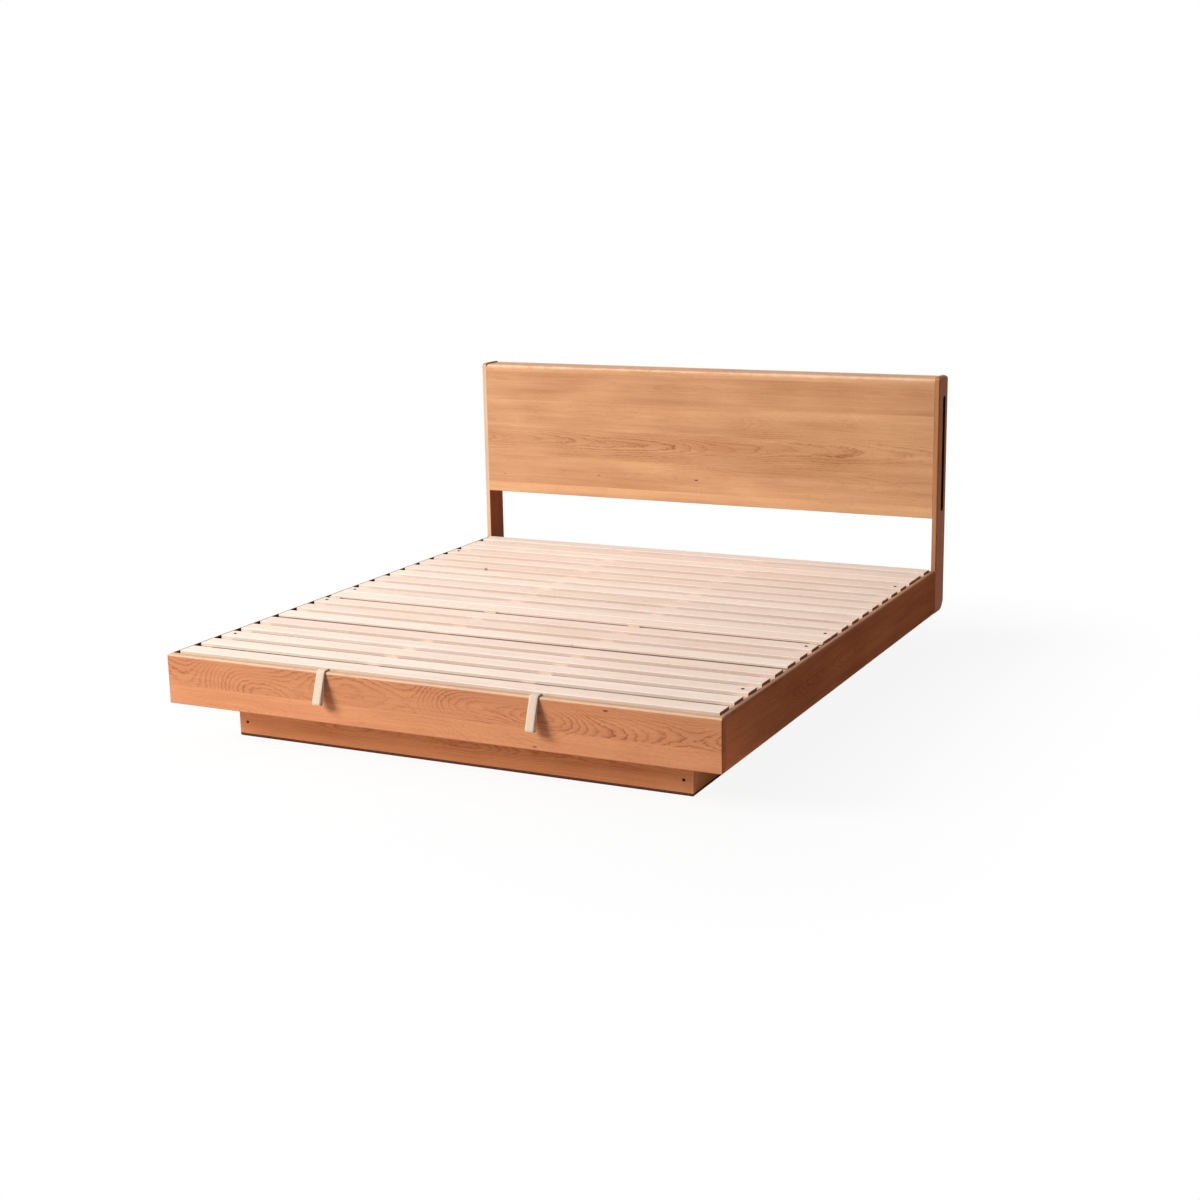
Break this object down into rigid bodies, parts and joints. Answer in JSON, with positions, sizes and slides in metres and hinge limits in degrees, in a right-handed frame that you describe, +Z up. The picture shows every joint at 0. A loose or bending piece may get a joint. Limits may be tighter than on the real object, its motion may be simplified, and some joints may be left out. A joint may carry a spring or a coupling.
{
  "type": "floating storage bed",
  "caption": "Low wooden platform bed on a recessed plinth, with a slatted deck whose front section lifts by straps, and a slim headboard box with slotted posts.",
  "frame": {"origin": "on the floor, below the centre of the whole box", "axes": "+X to the right seen from the foot, +Y from the foot to the headboard, +Z up"},
  "size_m": [1.86, 2.182, 0.988],
  "materials": {
    "show_wood": "oiled satin",
    "slat_wood": "sanded, pale",
    "inner_wood": "planed, unfinished",
    "panel_board": "plywood, sanded",
    "hinge_steel": "zinc plated",
    "dark_screw": "black oxide",
    "webbing": "woven cotton",
    "felt": "felt"
  },
  "bodies": {
    "bed_frame": {"footboard": "show_wood", "side_rail_left": "show_wood", "side_rail_right": "show_wood", "head_rail": "show_wood", "post_left": "show_wood", "post_right": "show_wood", "headboard_front_panel": "show_wood", "headboard_back_panel": "show_wood", "headboard_top_board": "show_wood", "headboard_bottom_board": "show_wood", "pocket_dividers": "inner_wood", "plinth_front": "show_wood", "plinth_back": "show_wood", "plinth_left": "show_wood", "plinth_right": "show_wood", "plinth_ribs": "inner_wood", "plinth_corner_blocks": "inner_wood", "plinth_glides": "felt", "plinth_bolts": "dark_screw", "storage_floor_front": "panel_board", "storage_floor_rear": "panel_board", "ledger_left": "inner_wood", "ledger_right": "inner_wood", "cross_ledgers": "inner_wood", "hinge_beam": "inner_wood", "rear_support_board": "inner_wood", "rear_bearers": "inner_wood", "hinge_beam_leaves": "hinge_steel", "hinge_pins": "hinge_steel", "hinge_beam_screws": "hinge_steel", "rear_slat_screws": "dark_screw", "corner_brackets": "hinge_steel", "bracket_screws": "dark_screw", "slat_09": "slat_wood", "slat_10": "slat_wood", "slat_11": "slat_wood", "slat_12": "slat_wood", "slat_13": "slat_wood", "slat_14": "slat_wood", "slat_15": "slat_wood", "slat_16": "slat_wood", "slat_17": "slat_wood", "slat_18": "slat_wood", "slat_19": "slat_wood", "slat_20": "slat_wood"},
    "deck_flap": {"slat_01": "slat_wood", "slat_02": "slat_wood", "slat_03": "slat_wood", "slat_04": "slat_wood", "slat_05": "slat_wood", "slat_06": "slat_wood", "slat_07": "slat_wood", "slat_08": "slat_wood", "flap_bearers": "inner_wood", "hinge_flap_leaves": "hinge_steel", "hinge_flap_screws": "hinge_steel", "flap_slat_screws": "dark_screw", "strap_anchors": "webbing"},
    "pull_strap_left": {"strap_left": "webbing"},
    "pull_strap_right": {"strap_right": "webbing"}
  },
  "joints": [
    {"name": "flap_hinge", "type": "hinge", "parent": "bed_frame", "child": "deck_flap", "pos_m": [0, -0.18304, 0.285], "axis": [-1, 0, 0], "range_deg": [0, 98]},
    {"name": "strap_left_swing", "type": "hinge", "parent": "deck_flap", "child": "pull_strap_left", "pos_m": [-0.358, -1.02729, 0.27875], "axis": [-1, 0, 0], "range_deg": [-98, 0]},
    {"name": "strap_right_swing", "type": "hinge", "parent": "deck_flap", "child": "pull_strap_right", "pos_m": [0.358, -1.02729, 0.27875], "axis": [-1, 0, 0], "range_deg": [-98, 0]}
  ],
  "couplings": [
    {"joint": "strap_left_swing", "follows": "flap_hinge", "ratio": -1},
    {"joint": "strap_right_swing", "follows": "flap_hinge", "ratio": -1}
  ]
}
